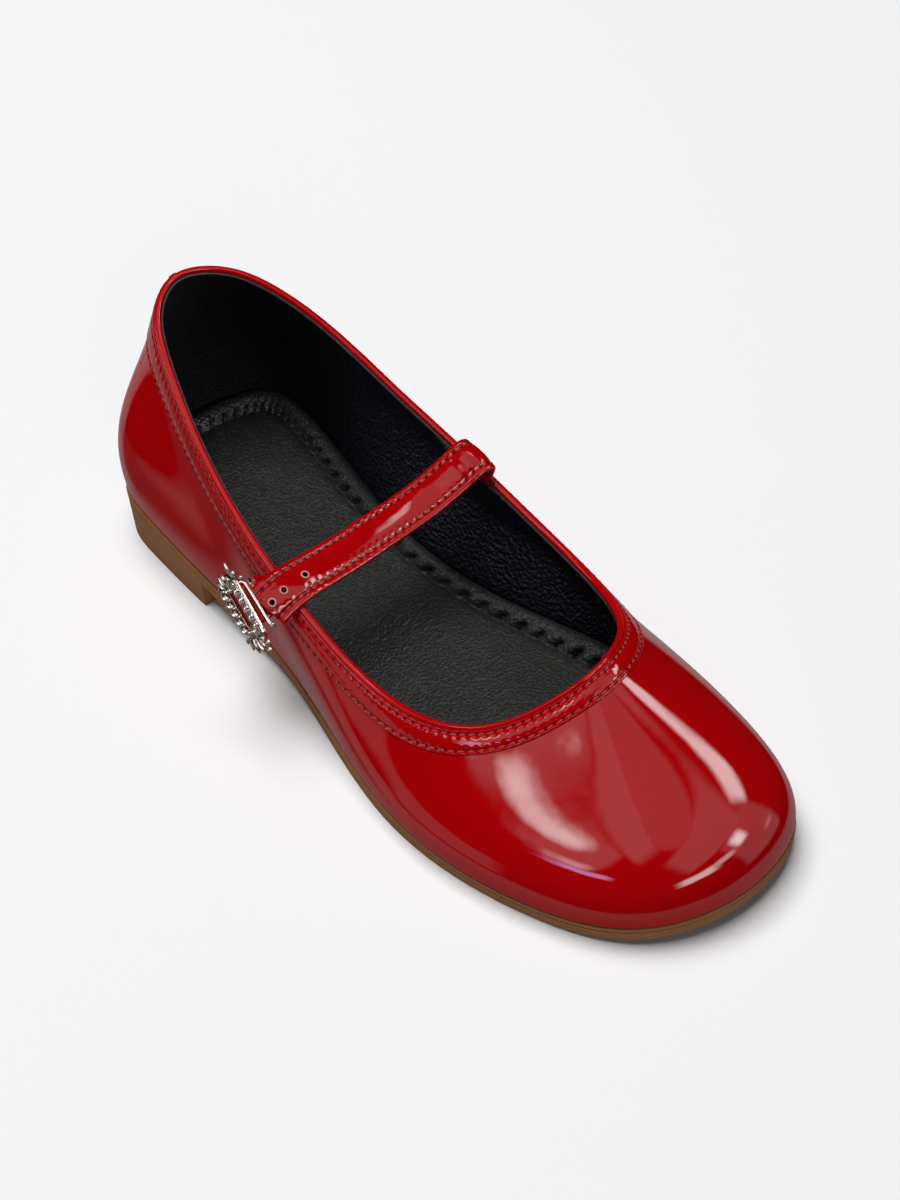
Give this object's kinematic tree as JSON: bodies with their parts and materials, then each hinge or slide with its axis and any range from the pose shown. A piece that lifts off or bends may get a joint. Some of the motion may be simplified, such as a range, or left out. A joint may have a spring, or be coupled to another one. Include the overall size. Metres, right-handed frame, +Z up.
{
  "type": "ballet flat",
  "caption": "Right shoe of a child's pair: hollow glossy upper with a bound topline, instep strap with a jewelled side buckle, padded insole and a moulded sole with a low block heel.",
  "frame": {"origin": "middle of the shoe's footprint, on the floor", "axes": "+Z up, +Y from the toe to the heel, +X to the medial side"},
  "size_m": [0.0826, 0.2124, 0.0705],
  "materials": {
    "sole": "matt moulded thermoplastic rubber, toffee brown",
    "insole": "soft black lining leather over foam, low sheen",
    "upper": "red patent leather, clear glossy coat",
    "binding": "red patent leather, rolled",
    "strap": "red patent leather, clear glossy coat",
    "anchor": "dark red patent leather",
    "buckle": "silver plate, set with clear stones",
    "wire": "bright silver plate"
  },
  "bodies": {
    "root": {"outsole": "sole", "insole": "insole", "upper": "upper", "topline_binding": "binding", "instep_strap": "strap", "buckle_anchor": "anchor", "buckle_frame": "buckle", "buckle_wire": "wire"}
  },
  "joints": []
}
